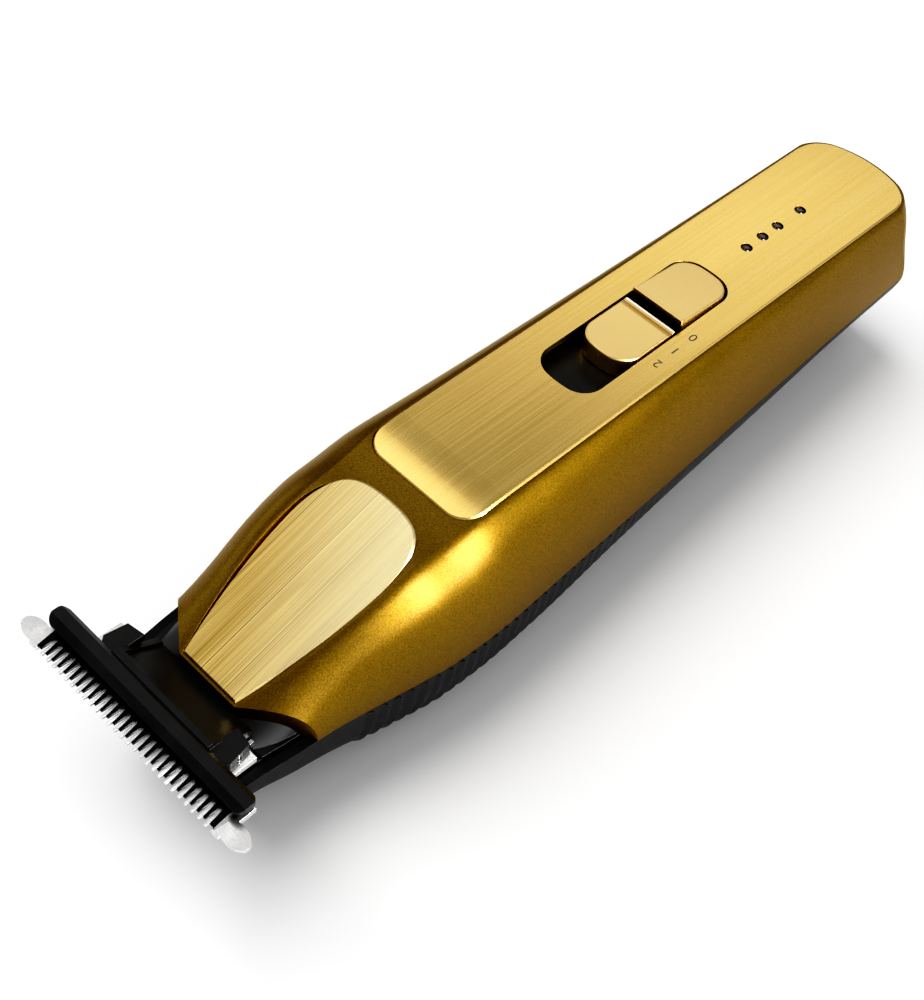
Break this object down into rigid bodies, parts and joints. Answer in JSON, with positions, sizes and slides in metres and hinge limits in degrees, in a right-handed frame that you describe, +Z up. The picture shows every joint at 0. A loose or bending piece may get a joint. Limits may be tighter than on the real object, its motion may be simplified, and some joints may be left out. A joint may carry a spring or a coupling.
{
  "type": "hair clipper",
  "caption": "Cordless T-blade hair trimmer: gold casing with brushed plates, sliding power switch, black ribbed back and removable wide blade block.",
  "frame": {"origin": "bottom centre of the whole trimmer's box, on the surface that it lies on", "axes": "+Z up out of the switch face, +Y from the blade to the tail, +X to the side of the switch numbers"},
  "size_m": [0.0462, 0.165, 0.0355],
  "materials": {
    "gold_paint": "satin metallic paint",
    "brushed_gold": "gold anodised, brushed lengthwise",
    "coarse_brushed_gold": "gold anodised, coarse brushed",
    "satin_gold": "gold, satin",
    "black_grip": "matte black with fine cross ribs",
    "black_plastic": "satin black moulding",
    "black_screw": "black oxide",
    "seal_rubber": "matte",
    "board_green": "solder mask",
    "chip_white": "gloss",
    "lamp_lens": "dark smoked, gloss",
    "bright_steel": "bright",
    "polished_steel": "polished",
    "black_coated_steel": "black carbon coating",
    "nickel": "nickel plated",
    "battery_sleeve": "shrink sleeve",
    "magnet": "matte",
    "bronze": "sintered",
    "lamination": "laminated"
  },
  "bodies": {
    "body": {"upper_shell": "gold_paint", "lower_shell": "black_grip", "body_gasket": "seal_rubber", "case_screws": "black_screw", "top_plate": "brushed_gold", "nose_plate": "coarse_brushed_gold", "switch_well": "black_plastic", "slide_switch": "black_plastic", "circuit_board": "board_green", "lamp_chips": "chip_white", "lamp_lenses": "lamp_lens", "board_screws": "bright_steel", "battery": "battery_sleeve", "battery_tabs": "nickel", "battery_cradle": "black_plastic", "charge_socket": "black_plastic", "charge_pin": "nickel", "motor_can": "bright_steel", "motor_magnets": "magnet", "motor_end_cap": "black_plastic", "motor_bushings": "bronze", "motor_screws": "bright_steel", "neck_frame": "black_plastic", "neck_seal": "seal_rubber", "retaining_clips": "bright_steel"},
    "switch": {"switch_knob": "satin_gold", "switch_post": "black_plastic"},
    "rotor": {"motor_shaft": "bright_steel", "armature": "lamination", "commutator": "bronze", "eccentric_cam": "bronze", "crank_pin": "bright_steel"},
    "blade_block": {"blade_holder": "black_plastic", "fixed_comb": "polished_steel", "blade_springs": "bright_steel", "blade_screws": "bright_steel"},
    "cutter": {"moving_cutter": "black_coated_steel", "cutter_carriage": "black_plastic"}
  },
  "joints": [
    {"name": "power_switch", "type": "slide", "parent": "body", "child": "switch", "axis": [0, -1, 0], "range_m": [0, 0.00865]},
    {"name": "motor_spin", "type": "hinge", "parent": "body", "child": "rotor", "pos_m": [0, -0.043, 0.0155], "axis": [0, 1, 0], "continuous": true},
    {"name": "blade_removal", "type": "slide", "parent": "body", "child": "blade_block", "axis": [0, -1, 0], "range_m": [0, 0.012]},
    {"name": "cutter_stroke", "type": "slide", "parent": "blade_block", "child": "cutter", "axis": [1, 0, 0], "range_m": [-0.0009, 0.0009]}
  ]
}
